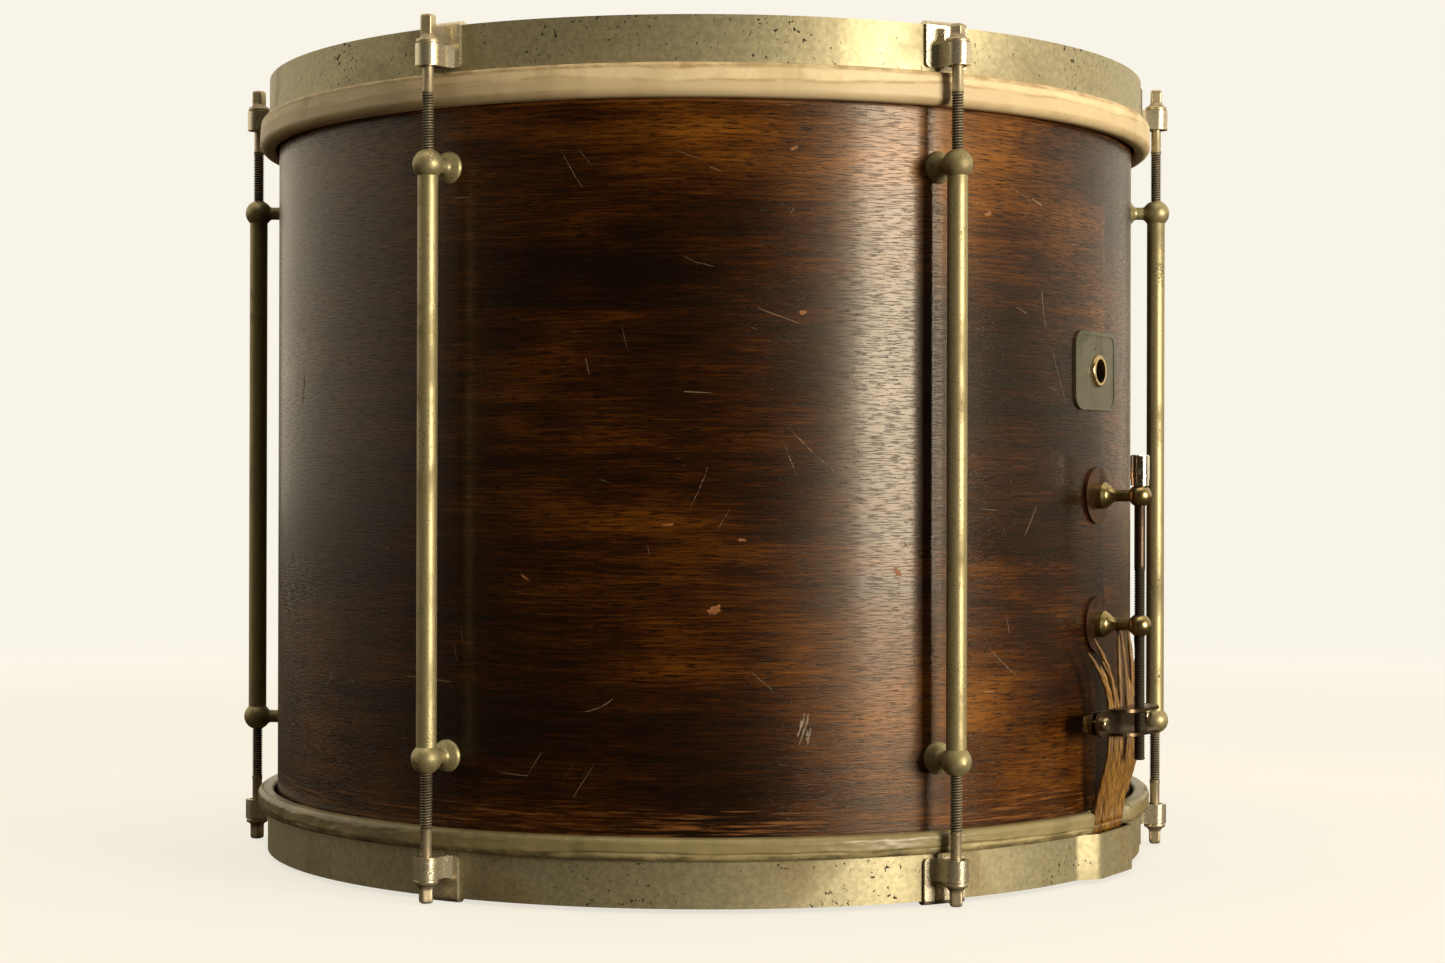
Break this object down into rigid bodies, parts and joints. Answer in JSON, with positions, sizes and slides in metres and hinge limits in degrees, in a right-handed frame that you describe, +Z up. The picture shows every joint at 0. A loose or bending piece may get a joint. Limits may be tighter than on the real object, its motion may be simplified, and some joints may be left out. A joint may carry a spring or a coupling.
{
  "type": "snare drum",
  "caption": "Wooden field snare drum: skin heads lapped on hoops, strap hoops with claws and square-headed rods in tube lugs, vented badge, and a screw strainer for gut snares.",
  "frame": {"origin": "on the drum's axis, on the plane of the bottom claws' lips that the drum stands on", "axes": "+Z up along the drum's axis; -Y is the front that faces the viewer; the strainer is 58.7 degrees round from the front towards +X"},
  "size_m": [0.4188, 0.3976, 0.3423],
  "materials": {
    "shell_wood": "gloss lacquer over dark red-brown veneer",
    "ring_wood": "bare, dry",
    "hoop_wood": "bare, dry",
    "calfskin": "matt, cream",
    "aged_calfskin": "matt, greenish cream, wrinkled",
    "hoop_nickel": "tarnished nickel plate",
    "claw_nickel": "bright nickel plate",
    "lug_nickel": "nickel plate worn to brass",
    "rod_steel": "dull nickel-plated steel",
    "screw_steel": "plain steel",
    "badge_metal": "dull grey-green plate",
    "grommet_brass": "polished brass",
    "strainer_brass": "satin olive brass",
    "rosette_copper": "dark copper brown",
    "strainer_steel": "blackened steel",
    "cap_nickel": "polished nickel",
    "clamp_bronze": "dark bronze",
    "gut": "dry twisted gut"
  },
  "bodies": {
    "drum": {"shell": "shell_wood", "reinforcement_ring_top": "ring_wood", "reinforcement_ring_bottom": "ring_wood", "batter_head": "calfskin", "batter_flesh_hoop": "hoop_wood", "snare_head": "aged_calfskin", "snare_flesh_hoop": "hoop_wood", "mounting_screws": "screw_steel", "mounting_washers": "screw_steel", "badge": "badge_metal", "vent_grommet": "grommet_brass", "strainer_rosettes": "rosette_copper", "strainer_posts": "strainer_brass", "gut_snares": "gut", "butt_plate": "clamp_bronze", "butt_jaw": "clamp_bronze", "butt_screws": "strainer_brass", "lug_tube_1": "lug_nickel", "lug_tube_2": "lug_nickel", "lug_tube_3": "lug_nickel", "lug_tube_4": "lug_nickel", "lug_tube_5": "lug_nickel", "lug_tube_6": "lug_nickel", "lug_posts_1": "lug_nickel", "lug_posts_2": "lug_nickel", "lug_posts_3": "lug_nickel", "lug_posts_4": "lug_nickel", "lug_posts_5": "lug_nickel", "lug_posts_6": "lug_nickel"},
    "top_hoop": {"top_hoop": "hoop_nickel", "top_claw_1": "claw_nickel", "top_claw_2": "claw_nickel", "top_claw_3": "claw_nickel", "top_claw_4": "claw_nickel", "top_claw_5": "claw_nickel", "top_claw_6": "claw_nickel"},
    "bottom_hoop": {"bottom_hoop": "hoop_nickel", "bottom_claw_1": "claw_nickel", "bottom_claw_2": "claw_nickel", "bottom_claw_3": "claw_nickel", "bottom_claw_4": "claw_nickel", "bottom_claw_5": "claw_nickel", "bottom_claw_6": "claw_nickel"},
    "top_rod_1": {"top_rod_1": "rod_steel"},
    "top_rod_2": {"top_rod_2": "rod_steel"},
    "top_rod_3": {"top_rod_3": "rod_steel"},
    "top_rod_4": {"top_rod_4": "rod_steel"},
    "top_rod_5": {"top_rod_5": "rod_steel"},
    "top_rod_6": {"top_rod_6": "rod_steel"},
    "bottom_rod_1": {"bottom_rod_1": "rod_steel"},
    "bottom_rod_2": {"bottom_rod_2": "rod_steel"},
    "bottom_rod_3": {"bottom_rod_3": "rod_steel"},
    "bottom_rod_4": {"bottom_rod_4": "rod_steel"},
    "bottom_rod_5": {"bottom_rod_5": "rod_steel"},
    "bottom_rod_6": {"bottom_rod_6": "rod_steel"},
    "strainer_rod": {"strainer_rod": "strainer_steel", "strainer_cap": "cap_nickel"},
    "snare_clamp": {"clamp_channel": "clamp_bronze", "clamp_jaw": "clamp_bronze", "clamp_screws": "strainer_brass"}
  },
  "joints": [
    {"name": "top_hoop_lift", "type": "slide", "parent": "drum", "child": "top_hoop", "axis": [0, 0, 1], "range_m": [0, 0.006]},
    {"name": "bottom_hoop_drop", "type": "slide", "parent": "drum", "child": "bottom_hoop", "axis": [0, 0, -1], "range_m": [0, 0.006]},
    {"name": "top_rod_1_turn", "type": "hinge", "parent": "top_hoop", "child": "top_rod_1", "pos_m": [-0.20345, 0.00462, 0.3305], "axis": [0, 0, 1], "range_deg": [0, 2060]},
    {"name": "top_rod_2_turn", "type": "hinge", "parent": "top_hoop", "child": "top_rod_2", "pos_m": [-0.10572, -0.17388, 0.3305], "axis": [0, 0, 1], "range_deg": [0, 2060]},
    {"name": "top_rod_3_turn", "type": "hinge", "parent": "top_hoop", "child": "top_rod_3", "pos_m": [0.09773, -0.1785, 0.3305], "axis": [0, 0, 1], "range_deg": [0, 2060]},
    {"name": "top_rod_4_turn", "type": "hinge", "parent": "top_hoop", "child": "top_rod_4", "pos_m": [0.20345, -0.00462, 0.3305], "axis": [0, 0, 1], "range_deg": [0, 2060]},
    {"name": "top_rod_5_turn", "type": "hinge", "parent": "top_hoop", "child": "top_rod_5", "pos_m": [0.10572, 0.17388, 0.3305], "axis": [0, 0, 1], "range_deg": [0, 2060]},
    {"name": "top_rod_6_turn", "type": "hinge", "parent": "top_hoop", "child": "top_rod_6", "pos_m": [-0.09773, 0.1785, 0.3305], "axis": [0, 0, 1], "range_deg": [0, 2060]},
    {"name": "bottom_rod_1_turn", "type": "hinge", "parent": "bottom_hoop", "child": "bottom_rod_1", "pos_m": [-0.20345, 0.00462, 0.0097], "axis": [0, 0, -1], "range_deg": [0, 2060]},
    {"name": "bottom_rod_2_turn", "type": "hinge", "parent": "bottom_hoop", "child": "bottom_rod_2", "pos_m": [-0.10572, -0.17388, 0.0097], "axis": [0, 0, -1], "range_deg": [0, 2060]},
    {"name": "bottom_rod_3_turn", "type": "hinge", "parent": "bottom_hoop", "child": "bottom_rod_3", "pos_m": [0.09773, -0.1785, 0.0097], "axis": [0, 0, -1], "range_deg": [0, 2060]},
    {"name": "bottom_rod_4_turn", "type": "hinge", "parent": "bottom_hoop", "child": "bottom_rod_4", "pos_m": [0.20345, -0.00462, 0.0097], "axis": [0, 0, -1], "range_deg": [0, 2060]},
    {"name": "bottom_rod_5_turn", "type": "hinge", "parent": "bottom_hoop", "child": "bottom_rod_5", "pos_m": [0.10572, 0.17388, 0.0097], "axis": [0, 0, -1], "range_deg": [0, 2060]},
    {"name": "bottom_rod_6_turn", "type": "hinge", "parent": "bottom_hoop", "child": "bottom_rod_6", "pos_m": [-0.09773, 0.1785, 0.0097], "axis": [0, 0, -1], "range_deg": [0, 2060]},
    {"name": "snare_clamp_travel", "type": "slide", "parent": "drum", "child": "snare_clamp", "axis": [0, 0, 1], "range_m": [-0.006, 0.012], "deforming": ["gut_snares"]},
    {"name": "strainer_turn", "type": "hinge", "parent": "drum", "child": "strainer_rod", "pos_m": [0.17927, -0.10899, 0.1574], "axis": [0, 0, -1], "range_deg": [-2060, 4120]}
  ],
  "couplings": [
    {"joint": "top_rod_1_turn", "follows": "top_hoop_lift", "rad_per_m": 5936.9},
    {"joint": "top_rod_2_turn", "follows": "top_hoop_lift", "rad_per_m": 5936.9},
    {"joint": "top_rod_3_turn", "follows": "top_hoop_lift", "rad_per_m": 5936.9},
    {"joint": "top_rod_4_turn", "follows": "top_hoop_lift", "rad_per_m": 5936.9},
    {"joint": "top_rod_5_turn", "follows": "top_hoop_lift", "rad_per_m": 5936.9},
    {"joint": "top_rod_6_turn", "follows": "top_hoop_lift", "rad_per_m": 5936.9},
    {"joint": "bottom_rod_1_turn", "follows": "bottom_hoop_drop", "rad_per_m": 5936.9},
    {"joint": "bottom_rod_2_turn", "follows": "bottom_hoop_drop", "rad_per_m": 5936.9},
    {"joint": "bottom_rod_3_turn", "follows": "bottom_hoop_drop", "rad_per_m": 5936.9},
    {"joint": "bottom_rod_4_turn", "follows": "bottom_hoop_drop", "rad_per_m": 5936.9},
    {"joint": "bottom_rod_5_turn", "follows": "bottom_hoop_drop", "rad_per_m": 5936.9},
    {"joint": "bottom_rod_6_turn", "follows": "bottom_hoop_drop", "rad_per_m": 5936.9},
    {"joint": "strainer_turn", "follows": "snare_clamp_travel", "rad_per_m": 5936.9}
  ]
}
